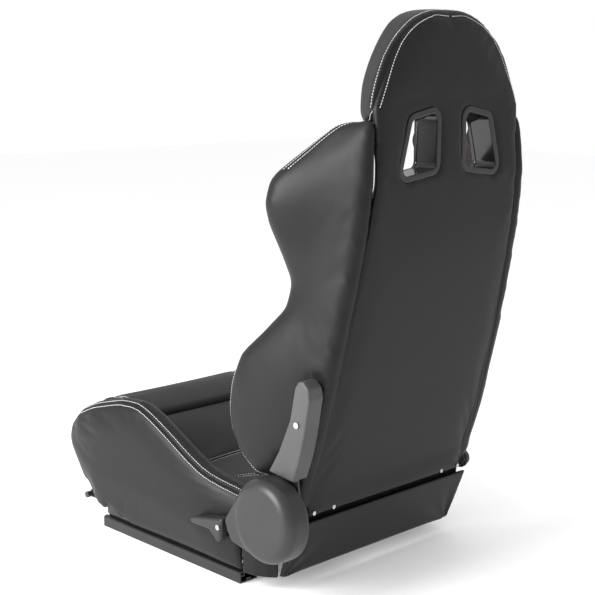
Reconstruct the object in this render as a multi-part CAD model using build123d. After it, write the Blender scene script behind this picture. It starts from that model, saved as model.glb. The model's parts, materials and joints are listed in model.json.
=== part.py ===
from build123d import *
import os
from math import acos, cos, degrees, pi, radians, sin

# Reclining sports seat on a pair of slide rails.
# Millimetres, +Z up, the sitter faces -Y, and +X is the sitter's left, where the recline lever is.
# Origin: the middle of the four floor bolts, on the underside of the rails.

# ---- driving dimensions -------------------------------------------------------------------------

RAIL_LENGTH = 385.0        # universal slide rail
RAIL_X = 210.0             # rail centre line to the seat's middle
RAIL_WIDTH = 38.0
RAIL_WALL = 2.5
LOWER_TRACK_HEIGHT = 20.0
RAIL_HEIGHT = 25.0         # both tracks together
FLOOR_BOLT_Y = 170.0       # floor bolt holes, front and rear of the middle
FLOOR_HOLE_R = 4.2
SLIDE_CLEARANCE = 0.4      # around the rollers and the upper track's flange

AXIS_Y = 299.5             # recline axis
AXIS_Z = 147.0
SWEEP_R = 74.0             # radius about the axis that the moving parts keep clear

BOLSTER_INNER = 173.0      # base bolster, inner face
CUSHION_Z = 150.0          # top of the cushion at the back
PAN_Z = 84.0               # underside of the cushion foam
PAD_GAP = 1.5              # between neighbouring pads

PANEL_THICK = 10.0         # padded skin over the back of the backrest
CAVITY = 30.0              # room for the back frame behind the centre pads
CENTRE_HALF = 136.0        # centre pads of the back, half width

TUBE_R = 11.0
PLATE_THICK = 4.0
BASE_PLATE_X = 219.0       # inner face of the base side plate
SECTOR_X = 226.0           # inner face of the backrest's side plate
COVER_X = 240.0            # rim plane of the recliner cover
COVER_DEPTH = 44.0
COVER_R = 69.0
COVER_WALL = 3.0
NOSE_R = 98.0              # the cover's nose, from the recline axis
NOSE_ANGLE = 191.8         # its upper corner
LEVER_X = 257.0            # inner face of the lever plate

# The backrest's rear face: height, half width of the flat panel, and how far back it stands.
REAR_FACE = [
    (137, 205, 316.5),
    (180, 210, 323),
    (220, 210, 337.5),
    (260, 209.5, 350.5),
    (300, 208, 361.5),
    (380, 206, 382),
    (460, 202, 400.5),
    (540, 196, 418.5),
    (620, 190, 434),
    (680, 184, 440.5),
    (740, 180, 439.5),
    (790, 168.5, 437),
    (830, 149.5, 436),
    (870, 128.5, 434.5),
    (900, 107, 434),
    (922, 78, 433.8),
    (934, 44, 433.6),
]

# Side wings: height, half width at the front edge, and the front edge's place.
WING_EDGE = [
    (152, 208, 262),
    (186, 214, 258),
    (203, 236, 254),
    (230, 238, 214),
    (262, 238, 190),
    (303, 238, 183),
    (350, 238, 191),
    (395, 232, 206),
    (437, 220, 249),
    (478, 208, 287),
    (520, 206, 298),
    (575, 220, 283),
    (610, 238, 280),
    (646, 246, 278),
    (684, 238, 285),
    (721, 216, 320),
    (746, 200, 345),
    (766, 186, 372),
]

# Base bolsters: place, half width of the base, crest height, and height of the bottom edge.
BOLSTER = [
    (-292, 222, 172, 134),
    (-272, 236, 196, 112),
    (-240, 246, 222, 78),
    (-190, 250, 243, 42),
    (-110, 250, 264, 26),
    (-60, 250, 266, 26),
    (-20, 250, 253, 26),
    (30, 250, 229, 26),
    (76, 250, 205, 26),
    (115, 250, 188, 26),
    (150, 247, 178, 26),
    (190, 238, 168, 26),
    (205, 236, 164, 26),
]

# The plain side's bolster carries on behind that, below the backrest's wing.
BOLSTER_TAIL = [
    (202, 237, 164, 26),
    (224, 233, 160, 26),
    (240, 227, 149, 26),
    (252, 220, 131, 26),
    (260, 213, 112, 26),
]


def lerp(table, key, column):
    """Value of a table's column at a key between its rows."""
    if key <= table[0][0]:
        return table[0][column]
    for low, high in zip(table, table[1:]):
        if key <= high[0]:
            t = (key - low[0]) / (high[0] - low[0])
            return low[column] + t * (high[column] - low[column])
    return table[-1][column]


def rear_y(z):
    return lerp(REAR_FACE, z, 2)


def front_y(z):
    """Front face of the backrest's centre, with a lumbar bulge."""
    lumbar = 14.0 * max(0.0, 1.0 - ((z - 290.0) / 90.0) ** 2)
    depth = 88.0 if z < 640.0 else 84.0
    return rear_y(z) - depth - lumbar


# ---- helpers ------------------------------------------------------------------------------------

def block(x0, x1, y0, y1, z0, z1):
    return Pos((x0 + x1) / 2, (y0 + y1) / 2, (z0 + z1) / 2) * Box(x1 - x0, y1 - y0, z1 - z0)


def rod_x(y, z, r, x0, x1):
    """A round bar along X."""
    return Pos((x0 + x1) / 2, y, z) * Rot(0, 90, 0) * Cylinder(r, x1 - x0)


def rod_y(x, z, r, y0, y1):
    """A round bar along Y."""
    return Pos(x, (y0 + y1) / 2, z) * Rot(90, 0, 0) * Cylinder(r, y1 - y0)


def plate_yz(points, x0, x1):
    """A flat plate whose outline is given as (y, z) points, from x0 to x1."""
    wire = Polyline([(x0, y, z) for y, z in points], close=True)
    return extrude(make_face(wire), amount=x1 - x0, dir=(1, 0, 0))


def plate_xz(points, y0, y1):
    """A flat plate whose outline is given as (x, z) points, from y0 to y1."""
    wire = Polyline([(x, y0, z) for x, z in points], close=True)
    return extrude(make_face(wire), amount=y1 - y0, dir=(0, 1, 0))


def outline_solid(points, d, x0, x1):
    """A plate from x0 to x1 whose (y, z) outline is drawn in by d, or grown when d is negative."""
    flat = make_face(Polyline([(y, z, 0) for y, z in points], close=True))
    solid = extrude(offset(flat, amount=-d, kind=Kind.INTERSECTION), amount=x1 - x0)
    return Plane(origin=(x0, 0, 0), x_dir=(0, 1, 0), z_dir=(1, 0, 0)) * solid


def stack(sections):
    """A solid ruled through a list of closed outlines with equal numbers of points."""
    faces = [make_face(Polyline(points, close=True)) for points in sections]
    return loft(faces, ruled=True)


def other_side(shape):
    return mirror(shape, about=Plane.YZ)


def polar(radius, angle):
    """A (y, z) point about the recline axis; 0 degrees is straight back, 90 is up."""
    return AXIS_Y + radius * cos(radians(angle)), AXIS_Z + radius * sin(radians(angle))


def axis_rod(radius, x0, x1):
    return rod_x(AXIS_Y, AXIS_Z, radius, x0, x1)


def tube_along(points, radii, radius, wall=None):
    path = FilletPolyline(*points, radius=radii)
    start = Plane(origin=path @ 0, z_dir=path % 0)
    outer = sweep(start * Circle(radius), path=path)
    if wall is None:
        return outer
    return outer - sweep(start * Circle(radius - wall), path=path)


NODES = {}


def add(name, *solids):
    NODES[name] = solids[0] if len(solids) == 1 else Compound(list(solids))


def add_pair(name, make):
    """The same piece on the left (+X) and, mirrored, on the right."""
    left = make()
    add(name + "_left", left)
    add(name + "_right", other_side(left))


# ---- slide rails --------------------------------------------------------------------------------

HALF_RAIL = RAIL_LENGTH / 2
LIP_X = 10.0               # inner edge of the lower track's folded lips
NECK_X = 8.5               # upper track's neck, half width
ROLLER_R = 3.0
FLANGE_Z = RAIL_WALL + 2 * ROLLER_R + 2 * SLIDE_CLEARANCE
UPPER_HALF = HALF_RAIL - 3.0
SEAT_BOLT_YS = (-176.0, 176.0)
NOTCH_COUNT = 12           # lock notches along the floor track's inner side
NOTCH_STEP = 20.0
NOTCH_FIRST = -110.0
NOTCH_TOP = 13.0


def lower_track():
    """Floor track: a channel whose sides fold over into lips."""
    half = RAIL_WIDTH / 2
    outer = block(RAIL_X - half, RAIL_X + half, -HALF_RAIL, HALF_RAIL, 0, LOWER_TRACK_HEIGHT)
    outer = fillet(outer.edges().filter_by(Axis.Y).group_by(Axis.Z)[-1], 4.0)
    room = block(RAIL_X - half + RAIL_WALL, RAIL_X + half - RAIL_WALL, -HALF_RAIL - 1, HALF_RAIL + 1,
                 RAIL_WALL, LOWER_TRACK_HEIGHT - RAIL_WALL)
    slot = block(RAIL_X - LIP_X, RAIL_X + LIP_X, -HALF_RAIL - 1, HALF_RAIL + 1,
                 RAIL_WALL, LOWER_TRACK_HEIGHT + 1)
    track = outer - room - slot
    for y in (-FLOOR_BOLT_Y, FLOOR_BOLT_Y):
        track -= Pos(RAIL_X, y, 0) * Cylinder(FLOOR_HOLE_R, 4 * RAIL_WALL)
    for i in range(NOTCH_COUNT):
        y = NOTCH_FIRST + i * NOTCH_STEP
        track -= block(RAIL_X - half - 1, RAIL_X - half + RAIL_WALL + 0.5, y - 4, y + 4,
                       NOTCH_TOP - 5, NOTCH_TOP)
    return track


def upper_track():
    """Seat track: a closed box on a flange that runs inside the floor track."""
    neck = block(RAIL_X - NECK_X, RAIL_X + NECK_X, -UPPER_HALF, UPPER_HALF, FLANGE_Z, RAIL_HEIGHT)
    flange = block(RAIL_X - 15, RAIL_X + 15, -UPPER_HALF, UPPER_HALF, FLANGE_Z, FLANGE_Z + 2.5)
    room = block(RAIL_X - NECK_X + 2.5, RAIL_X + NECK_X - 2.5, -UPPER_HALF - 1, UPPER_HALF + 1,
                 FLANGE_Z - 1, RAIL_HEIGHT - 3)
    track = neck + flange - room
    for y in SEAT_BOLT_YS:
        track -= Pos(RAIL_X, y, RAIL_HEIGHT) * Cylinder(4.1, 12)
    return track


def roller_places():
    return [(side * RAIL_X, y) for side in (1, -1) for y in (-120.0, -40.0, 40.0, 120.0)]


def roller_cage():
    cage = block(RAIL_X - 14.5, RAIL_X + 14.5, -130, 130, 4.9, 6.7)
    for x, y in roller_places():
        if x > 0:
            cage -= block(x - 12.4, x + 12.4, y - ROLLER_R - 0.4, y + ROLLER_R + 0.4, 0, 20)
    return cage


add_pair("lower_track", lower_track)
add_pair("upper_track", upper_track)
add_pair("roller_cage", roller_cage)
add("track_rollers", *[rod_x(y, RAIL_WALL + SLIDE_CLEARANCE + ROLLER_R, ROLLER_R, x - 12, x + 12)
                       for x, y in roller_places()])
add("track_end_stops", *[
    block(side * RAIL_X - 5, side * RAIL_X + 5, end * (HALF_RAIL - 1.5) - 1.5,
          end * (HALF_RAIL - 1.5) + 1.5, RAIL_WALL, RAIL_WALL + 4.0)
    for side in (1, -1) for end in (1, -1)])


# ---- base frame ---------------------------------------------------------------------------------

DISC_R = 46.0              # base side plate round the recline axis, on the recliner's side
SMALL_DISC_R = 14.0        # and on the plain side
HINGE_LOW_X = 211.0        # inner face of the plain side's hinge arm, round the pin
HINGE_HIGH_X = 204.0       # and above its step, inside the wing
PIN_R = 8.0
PIN_PLAY = 0.05            # the hinge pin's clearance all round
FOOT_TOP = RAIL_HEIGHT + 3.0
FOOT_HALF = 188.0          # the plate's foot on the track, half length
WEB_FOOT_Y = 128.0         # where the web rises off the foot towards the axis
WEB_TOP = 76.0
CROSS_TUBES = ((-168.0, 62.0), (128.0, 62.0))


NECK_LEFT = [(190, 122)]
NECK_RIGHT = [(262, 134), (200, 100)]


def side_plate_outline(disc_r, neck):
    arc = [polar(disc_r, a) for a in range(-140, 141, 20)]
    low = [(-FOOT_HALF, FOOT_TOP), (WEB_FOOT_Y, FOOT_TOP), (200, 82)]
    return low + arc + neck + [(110, WEB_TOP), (-FOOT_HALF, WEB_TOP)]


def base_side_plate(outline):
    """Pressed steel side of the seat's base, from the track up to the recline axis."""
    web = plate_yz(outline, BASE_PLATE_X, BASE_PLATE_X + PLATE_THICK)
    foot = block(RAIL_X - 11, BASE_PLATE_X + PLATE_THICK, -FOOT_HALF, WEB_FOOT_Y, RAIL_HEIGHT, FOOT_TOP)
    tab = block(RAIL_X - 11, BASE_PLATE_X, WEB_FOOT_Y, FOOT_HALF, RAIL_HEIGHT, FOOT_TOP)
    plate = web + foot + tab
    for y in SEAT_BOLT_YS:
        plate -= Pos(RAIL_X, y, RAIL_HEIGHT) * Cylinder(4.1, 12)
    plate -= axis_rod(PIN_R + PIN_PLAY, 200, 240)
    for y, z in CROSS_TUBES:
        plate -= rod_x(y, z, 5.1, 200, 240)
    return plate


def cross_tube(y, z):
    reach = BASE_PLATE_X - 0.05
    tube = rod_x(y, z, TUBE_R, -reach, reach)
    return tube - rod_x(y, z, TUBE_R - 2.0, -reach - 1, reach + 1)


def hinge_pin_left():
    head = axis_rod(13.0, BASE_PLATE_X - 3.5, BASE_PLATE_X)
    shank = axis_rod(PIN_R, BASE_PLATE_X, LEVER_X + 7.0)
    return head + shank


def hinge_pin_right():
    """Shoulder pin on the plain side: it carries the hinge arm inside the base's side plate."""
    inner_head = axis_rod(12.0, HINGE_LOW_X - 2.5, HINGE_LOW_X)
    shank = axis_rod(PIN_R, HINGE_LOW_X, BASE_PLATE_X + PLATE_THICK)
    spacer = axis_rod(12.0, HINGE_LOW_X + PLATE_THICK + PIN_PLAY, BASE_PLATE_X)
    outer_head = axis_rod(11.0, BASE_PLATE_X + PLATE_THICK, BASE_PLATE_X + PLATE_THICK + 3.0)
    return other_side(inner_head + shank + spacer + outer_head)


def seat_spring(x):
    """Zigzag spring wire between the two cross tubes."""
    y0, y1 = CROSS_TUBES[0][0] + 14, CROSS_TUBES[1][0] - 14
    waves = 9
    step = (y1 - y0) / waves
    points = [(x, y0, 77.0)]
    for i in range(waves):
        side = 18.0 if i % 2 else -18.0
        points += [(x + side, y0 + (i + 0.25) * step, 77.0), (x + side, y0 + (i + 0.75) * step, 77.0)]
    points += [(x, y1, 77.0)]
    return tube_along(points, 6.0, 2.0)


LEFT_PLATE = side_plate_outline(DISC_R, NECK_LEFT)
RIGHT_PLATE = side_plate_outline(SMALL_DISC_R, NECK_RIGHT)
add("base_side_plate_left", base_side_plate(LEFT_PLATE))
add("base_side_plate_right", other_side(base_side_plate(RIGHT_PLATE)))
add("front_cross_tube", cross_tube(*CROSS_TUBES[0]))
add("rear_cross_tube", cross_tube(*CROSS_TUBES[1]))
add("hinge_pins", hinge_pin_left(), hinge_pin_right())
add("seat_springs", *[seat_spring(x) for x in (-120, -40, 40, 120)])
add("seat_spring_clips", *[
    block(x - 9, x + 9, y - 16, y + 16, z + TUBE_R + 0.1, z + TUBE_R + 1.6)
    for x in (-120, -40, 40, 120) for y, z in CROSS_TUBES])


def track_bolt(x, y):
    """Bolt and nut that hold the seat's base on the upper track."""
    shank = Pos(x, y, RAIL_HEIGHT + 1.5) * Cylinder(4.0, 9.0)
    nut = Pos(x, y, FOOT_TOP + 3.5) * extrude(RegularPolygon(7.5, 6), amount=3.5, both=True)
    return shank + nut


add("track_bolts", *[track_bolt(side * RAIL_X, y) for side in (1, -1) for y in SEAT_BOLT_YS])
add("cross_tube_bolts", *[
    rod_x(y, z, 5.0, *sorted((side * (BASE_PLATE_X - 10), side * (BASE_PLATE_X + PLATE_THICK + 1.5))))
    for side in (1, -1) for y, z in CROSS_TUBES])


# ---- base pads ----------------------------------------------------------------------------------

FOOT_EDGE = 228.0          # where the bolster's skin ends, just outside the side plate


def bolster_section(y, half, crest, bottom):
    floor = max(PAN_Z, bottom + 8.0)
    cushion = min(cushion_top(y) + 2.0, crest - 14.0)
    foot = min(FOOT_EDGE, half - 5.0) if y > -190.0 else half - 14.0
    rise = crest - bottom
    return [
        (foot, y, bottom),
        (half - 2, y, bottom + 0.35 * rise),
        (half, y, crest - min(34.0, 0.4 * rise)),
        (half - 5, y, crest - min(12.0, 0.2 * rise)),
        (half - 25, y, crest),
        (half - 44, y, crest - 10),
        (BOLSTER_INNER, y, cushion),
        (BOLSTER_INNER, y, floor),
        (foot - 2.5, y, floor),
        (foot - 2.5, y, bottom),
    ]


def cushion_top(y):
    """Height of the cushion: level at the back, rising to the thigh roll."""
    if y > 12.0:
        return CUSHION_Z
    return CUSHION_Z + 70.0 * sin(min(1.0, (12.0 - y) / 250.0) * pi / 2)


def base_bolster_left():
    pad = stack([bolster_section(*row) for row in BOLSTER])
    pad -= axis_rod(SWEEP_R + 3.0, 150, 260)
    pocket = [(105, 70), (105, 79), (190, 127), (230, 150), (230, 70)]
    return pad - plate_yz(pocket, BASE_PLATE_X - 1.5, BASE_PLATE_X + PLATE_THICK + 1.5)


def base_bolster_right():
    """On the plain side the bolster runs on below the hinge and round to the rear skirt."""
    pad = stack([bolster_section(*row) for row in BOLSTER[:-1] + BOLSTER_TAIL])
    return other_side(pad - outline_solid(RIGHT_PLATE, -1.5, BASE_PLATE_X - 1.5,
                                          BASE_PLATE_X + PLATE_THICK + 1.5))


def cushion():
    """Seat cushion between the bolsters."""
    ys = [-140, -100, -60, -20, 12, 100, 216]
    top = [(y, cushion_top(y)) for y in ys]
    bottom = [(218, CUSHION_Z - 14), (214, PAN_Z), (-140, PAN_Z)]
    pad = plate_yz(top + bottom, -(BOLSTER_INNER - PAD_GAP), BOLSTER_INNER - PAD_GAP)
    return pad - axis_rod(SWEEP_R + 3.0, -300, 300)


def thigh_pad():
    """Rolled front edge of the cushion."""
    ys = [-141.5, -180, -215, -240]
    top = [(y, cushion_top(y)) for y in ys]
    nose = [(-266, 216), (-286, 198), (-297, 172), (-294, 140), (-276, 110), (-246, PAN_Z)]
    return plate_yz(top + nose + [(-141.5, PAN_Z)], -(BOLSTER_INNER - PAD_GAP), BOLSTER_INNER - PAD_GAP)


SKIRT_LEAN = (316.5 - 270.5) / (137.0 - 26.0)


def skirt_y(z):
    return 270.5 + SKIRT_LEAN * (z - 26.0)


def rear_skirt():
    """Padded skin across the back of the base, leaning like the backrest above it."""
    low, high = 26.0, 131.0
    thick = 9.0
    outline = [(skirt_y(low), low), (skirt_y(high), high), (skirt_y(high) - thick, high),
               (skirt_y(low) - thick, low)]
    return plate_yz(outline, -207, 207) - axis_rod(22.5, -300, 300)


def skirt_corner():
    """Skin from the left bolster round to the rear skirt, under the recliner cover."""
    outline = [(236, 206.5), (232, 232), (222, 252), (208.5, 268), (208.5, 258), (216, 247),
               (225, 230), (228, 206.5)]
    wire = Polyline([(x, y, 26) for x, y in outline], close=True)
    return extrude(make_face(wire), amount=50) - axis_rod(SWEEP_R + 3.0, 200, 260)


add("base_bolster_left", base_bolster_left())
add("base_bolster_right", base_bolster_right())
add("cushion", cushion())
add("thigh_pad", thigh_pad())
add("rear_skirt", rear_skirt())
add("skirt_corner_left", skirt_corner())


# ---- recliner -----------------------------------------------------------------------------------

TOOTH_COUNT = 16
TOOTH_STEP = 6.0
SECTOR_R = 50.0
ARM_BOLTS = ((rear_y(245) - 26.0, 245.0), (rear_y(335) - 26.0, 335.0))
BLADE_SCREW = (345.5, 308.0)
BLADE = [(336.5, 213), (350.5, 251), (360.5, 288), (372.5, 350), (370, 368), (358, 379), (347, 377),
         (340, 366), (328.5, 313), (312.5, 278), (303.5, 258), (279.5, 219)]


def blade_solid(d, x0, x1):
    return outline_solid(BLADE, d, x0, x1)


def sector_plate():
    """Toothed side plate of the backrest: a disc on the recline axis with an arm up the side."""
    disc = axis_rod(SECTOR_R, SECTOR_X, SECTOR_X + PLATE_THICK)
    arm = plate_yz([polar(SECTOR_R - 6, 130), (290, 224), (314, 264), (334, 300), (346, 360), (356, 368),
                    (362, 350), (352, 300), (340, 253), (330, 220), polar(SECTOR_R - 6, 30)],
                   SECTOR_X, SECTOR_X + PLATE_THICK)
    plate = disc + arm
    for i in range(TOOTH_COUNT):
        angle = 140.0 + i * TOOTH_STEP
        y, z = polar(SECTOR_R, angle)
        plate -= rod_x(y, z, 1.5, SECTOR_X - 1, SECTOR_X + PLATE_THICK + 1)
    plate -= axis_rod(PIN_R + PIN_PLAY, 200, 260)
    for y, z in ARM_BOLTS:
        plate -= rod_x(y, z, 4.1, 200, 260)
    return plate - rod_x(*BLADE_SCREW, 2.6, 200, 260)


HINGE_EYE_R = 17.0
STEP = (288.0, 306.0, 186.0, 196.0)    # the arm's step: front, back, bottom and top
HINGE_LOW = [polar(HINGE_EYE_R, 150), (288, 186), (288, 196), (306, 196), (308, 186),
             polar(HINGE_EYE_R, 35)]
HINGE_HIGH = [(288, 186), (287, 200), (307, 250), (333, 342), (343, 352), (354, 349), (353, 330),
              (331, 240), (308, 196), (306, 186)]


def hinge_arm_body(grow):
    """The stepped arm without its holes, grown all round."""
    low_x, high_x = HINGE_LOW_X - grow, HINGE_HIGH_X - grow
    thick = PLATE_THICK + 2 * grow
    body = axis_rod(HINGE_EYE_R + grow, low_x, low_x + thick)
    body += outline_solid(HINGE_LOW, -grow, low_x, low_x + thick)
    body += outline_solid(HINGE_HIGH, -grow, high_x, high_x + thick)
    front, back, bottom, top = STEP
    return body + block(high_x, low_x + thick, front - grow, back + grow, bottom - grow, top + grow)


def hinge_arm():
    """Plain arm of the backrest's free side, buried in the wing's foam."""
    plate = hinge_arm_body(0) - axis_rod(PIN_R + PIN_PLAY, 190, 230)
    for y, z in ARM_BOLTS:
        plate -= rod_x(y, z, 4.1, 190, 230)
    return other_side(plate)


def arm_cover():
    """Moulded blade over the backrest's side plate, with a rim that sinks into the padding."""
    shell = blade_solid(0, 214, 245)
    shell = chamfer(shell.faces().sort_by(Axis.X)[-1].edges(), 2.0)
    shell -= blade_solid(2.5, 213, 242.5)
    shell -= plate_yz([(285, 205), (336, 205), (338, 232), (290, 238)], 213, SECTOR_X + PLATE_THICK + 2)
    return shell - rod_x(*BLADE_SCREW, 2.6, 230, 260)


def arm_cover_screw():
    y, z = BLADE_SCREW
    return rod_x(y, z, 5.0, 245.1, 247.5) + rod_x(y, z, 2.5, 224, 246)


def arm_bolt(y, z, plate_x, head):
    """Bolt through a side plate whose inner face is at plate_x, into the sleeve behind it."""
    outer = plate_x + PLATE_THICK
    return rod_x(y, z, 6.5, outer, outer + head) + rod_x(y, z, 4.0, plate_x - 30, outer + 1)


def arm_sleeve(y, z, plate_x):
    tube = rod_x(y, z, 8.0, 163.3, plate_x - 0.1)
    return tube - rod_x(y, z, 4.1, 160, plate_x + 1)


def recliner_cover():
    """Domed moulding over the recline mechanism, with a nose at the front for the lever's slit."""
    def dome(r, depth, soft, nose_in):
        body = axis_rod(r, COVER_X, COVER_X + depth)
        body = fillet(body.edges().filter_by(GeomType.CIRCLE).sort_by(Axis.X)[-1], soft)
        touch = NOSE_ANGLE - degrees(acos(r / NOSE_R))
        nose = [polar(r, touch), polar(NOSE_R - nose_in, NOSE_ANGLE), polar(NOSE_R - 1 - nose_in, 203),
                polar(NOSE_R - 3 - nose_in, 214.5), polar(r + 3, 240), polar(r, 268), (AXIS_Y, AXIS_Z)]
        lug = plate_yz(nose, COVER_X, COVER_X + depth - 9)
        lug = chamfer(lug.faces().sort_by(Axis.X)[-1].edges(), 5.0)
        return body + lug

    shell = dome(COVER_R, COVER_DEPTH, 20.0, 0.0)
    hollow = Pos(-1, 0, 0) * dome(COVER_R - COVER_WALL, COVER_DEPTH - COVER_WALL + 1, 17.0, COVER_WALL)
    shell -= hollow
    lobe = plate_yz([polar(72, 262), (250, 80), (215, 77), (196, 82), (188, 92), (193, 108), (201, 120),
                     (222, 118), (246, 96)], COVER_X, COVER_X + 9)
    shell += lobe - hollow - axis_rod(COVER_R - COVER_WALL, COVER_X - 5, COVER_X + 20)
    slit = [polar(r, a) for r, a in ((60, 168), (132, 168), (132, 214), (60, 214))]
    return shell - plate_yz(slit, LEVER_X - 1.5, LEVER_X + 6.5)


def spiral_spring():
    """Clock spring that brings the backrest forward."""
    turns = 3.5
    steps = int(turns * 12)
    points = []
    for i in range(steps + 1):
        angle = i * 30.0
        points.append((0, *polar(9.3 + 7.5 * angle / 360.0, angle)))
    path = Spline(*points)
    strip = Plane(origin=path @ 0, z_dir=path % 0, x_dir=(1, 0, 0)) * Rectangle(6, 1.8)
    return Pos(235.5, 0, 0) * sweep(strip, path=path)


add("sector_plate", sector_plate())
add("hinge_arm", hinge_arm())
add("arm_cover", arm_cover())
add("arm_cover_screw", arm_cover_screw())
add("arm_bolts", *[arm_bolt(*p, SECTOR_X, 5.0) for p in ARM_BOLTS],
    *[other_side(arm_bolt(*p, HINGE_HIGH_X, 3.0)) for p in ARM_BOLTS])
add("arm_sleeves", *[arm_sleeve(*p, SECTOR_X) for p in ARM_BOLTS],
    *[other_side(arm_sleeve(*p, HINGE_HIGH_X)) for p in ARM_BOLTS])
add("recliner_cover", recliner_cover())
add("recline_spring", spiral_spring())

PAWL_PIVOT = polar(64.0, 200.0)


def recline_pawl():
    """Toothed block that locks the side plate; its teeth stand just clear of the plate's notches."""
    outer = [polar(62, a) for a in range(196, 229, 8)]
    inner = [polar(SECTOR_R + 0.8, a) for a in range(228, 199, -7)]
    jaw = plate_yz(outer + inner, SECTOR_X, SECTOR_X + PLATE_THICK)
    y, z = PAWL_PIVOT
    boss = rod_x(y, z, 6.0, SECTOR_X, SECTOR_X + PLATE_THICK)
    return jaw + boss - rod_x(y, z, 3.05, 200, 260)


def pawl_pin():
    y, z = PAWL_PIVOT
    return rod_x(y, z, 3.0, BASE_PLATE_X + PLATE_THICK, SECTOR_X + PLATE_THICK + 3)


LEVER_SCREW = (194.5, 112.0)


def lever_plate():
    """Steel lever from the hinge pin out through the cover's slit."""
    hub = axis_rod(18.0, LEVER_X, LEVER_X + 5)
    arm = plate_yz([polar(16, 120), polar(98, 194), polar(122, 196), polar(118, 204), polar(98, 208),
                    polar(16, 290)], LEVER_X, LEVER_X + 5)
    plate = hub + arm - axis_rod(PIN_R + PIN_PLAY, 240, 280)
    return plate - rod_x(*LEVER_SCREW, 2.6, 240, 290)


def lever_handle():
    """Moulded grip on the end of the lever plate."""
    outline = [(202, 127), (170, 121), (138, 115), (124, 111), (120, 105), (124, 101), (150, 101),
               (169, 101), (181, 92), (190, 84), (199, 92)]
    grip = plate_yz(outline, LEVER_X - 1.5, LEVER_X + 20)
    grip = chamfer(grip.faces().sort_by(Axis.X)[-1].edges(), 3.0)
    slot = plate_yz([polar(80, 192), polar(124, 194.5), polar(124, 205.5), polar(80, 212)],
                    LEVER_X - 0.1, LEVER_X + 5.1)
    return grip - slot - rod_x(*LEVER_SCREW, 2.6, 240, 290)


def lever_screw():
    return rod_x(*LEVER_SCREW, 4.5, LEVER_X + 20, LEVER_X + 22.5) + \
        rod_x(*LEVER_SCREW, 2.5, LEVER_X, LEVER_X + 20.5)


add("recline_pawl", recline_pawl())
add("pawl_pin", pawl_pin())
add("lever_plate", lever_plate())
add("lever_handle", lever_handle())
add("lever_screw", lever_screw())


# ---- backrest frame -----------------------------------------------------------------------------

HOOP_X = 152.0
HOOP_LOW, HOOP_HIGH = 196.0, 640.0


def hoop_point(x, z):
    return (x, rear_y(z) - 26.0, z)


def back_hoop():
    points = [hoop_point(-HOOP_X, HOOP_LOW), hoop_point(-HOOP_X, 300), hoop_point(-HOOP_X, 460),
              hoop_point(-HOOP_X, HOOP_HIGH), hoop_point(HOOP_X, HOOP_HIGH), hoop_point(HOOP_X, 460),
              hoop_point(HOOP_X, 300), hoop_point(HOOP_X, HOOP_LOW)]
    return tube_along(points, [60, 120, 50, 50, 120, 60], TUBE_R)


def back_wire(z):
    reach = HOOP_X - TUBE_R - 0.2
    return rod_x(rear_y(z) - 26.0, z, 3.0, -reach, reach)


add("back_hoop", back_hoop())
add("back_wires", *[back_wire(z) for z in (250, 320, 390, 460, 530)])


# ---- backrest pads ------------------------------------------------------------------------------

def wing_insert():
    """Contrasting panel sewn on the inner face of the wing at shoulder height."""
    sections = []
    for z in (598, 622, 646, 684, 712):
        half, y = lerp(WING_EDGE, z, 1), lerp(WING_EDGE, z, 2)
        outline = wing_section(z, half, y)
        outer, inner = Vector(*outline[5]), Vector(*outline[6])
        along = (inner - outer).normalized()
        out = Vector(-along.Y, along.X, 0)
        out = out if out.Y < 0 else -out
        near, far = outer + along * 4, inner - along * 8
        sections.append([near + out * 0.5, far + out * 0.5, far + out * 3.5, near + out * 3.5])
    return stack([[(p.X, p.Y, p.Z) for p in section] for section in sections])


HOLE = [(36, 695), (116, 685), (92, 770), (35, 781)]
TUNNEL_WALL = 3.0
FLANGE = 10.0
RECESS_Y = 435.5           # floor of the rear flange's seat in the padded skin


def hole_prism(grow, y0, y1):
    """The harness hole's outline, grown all round, as a bar along Y with rounded corners."""
    flat = make_face(Polyline([(x, z, 0) for x, z in HOLE], close=True))
    flat = fillet(flat.vertices(), 10.0)
    if grow:
        flat = offset(flat, amount=grow, kind=Kind.ARC)
    bar = extrude(flat, amount=y1 - y0)
    return Plane(origin=(0, y1, 0), x_dir=(1, 0, 0), z_dir=(0, -1, 0)) * bar


def rear_panel():
    """Padded skin over the whole back of the backrest."""
    pad = stack([[(-w, y, z), (w, y, z), (w, y - PANEL_THICK, z), (-w, y - PANEL_THICK, z)]
                 for z, w, y in REAR_FACE])
    pocket = hole_prism(TUNNEL_WALL + 1.0, 400, 460)
    recess = hole_prism(FLANGE + 1.5, RECESS_Y, 460)
    for cut in (pocket, recess):
        pad = pad - cut - other_side(cut)
    return pad


def wing_section(z, half, y):
    width, rear = lerp(REAR_FACE, z, 1), rear_y(z)
    lead = max(rear - 40.0 - y, 12.0)
    bulge = min(10.0, 0.08 * lead)
    middle = (width + half) / 2 + bulge
    inner = rear - PANEL_THICK - PAD_GAP
    front = min(max(front_y(z) + 6.0, y + 14), inner - 38.0)
    root = CENTRE_HALF + PAD_GAP + 1.0
    return [
        (165, inner, z),
        (width + 1, inner, z),
        (middle, y + 0.55 * lead, z),
        (half + 2, y + min(18.0, 0.3 * lead), z),
        (half - 10, y - 4, z),
        (max(half - 40, root + 14), y + 8, z),
        (root, front, z),
        (root, max(front + 8, rear - PANEL_THICK - CAVITY - 1), z),
        (165, rear - PANEL_THICK - CAVITY - 1, z),
    ]


def back_wing_left():
    """Left wing, with room for the recliner and its arm cover."""
    pad = stack([wing_section(z, half, y) for z, half, y in WING_EDGE])
    pad -= axis_rod(SWEEP_R - 1.0, 211, 300)
    pad -= axis_rod(16.5, 210, 300)
    pad -= blade_solid(-1.5, 212.5, 300)
    for y, z in ARM_BOLTS:
        pad -= rod_x(y, z, 8.6, 150, 300)
    return pad


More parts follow.
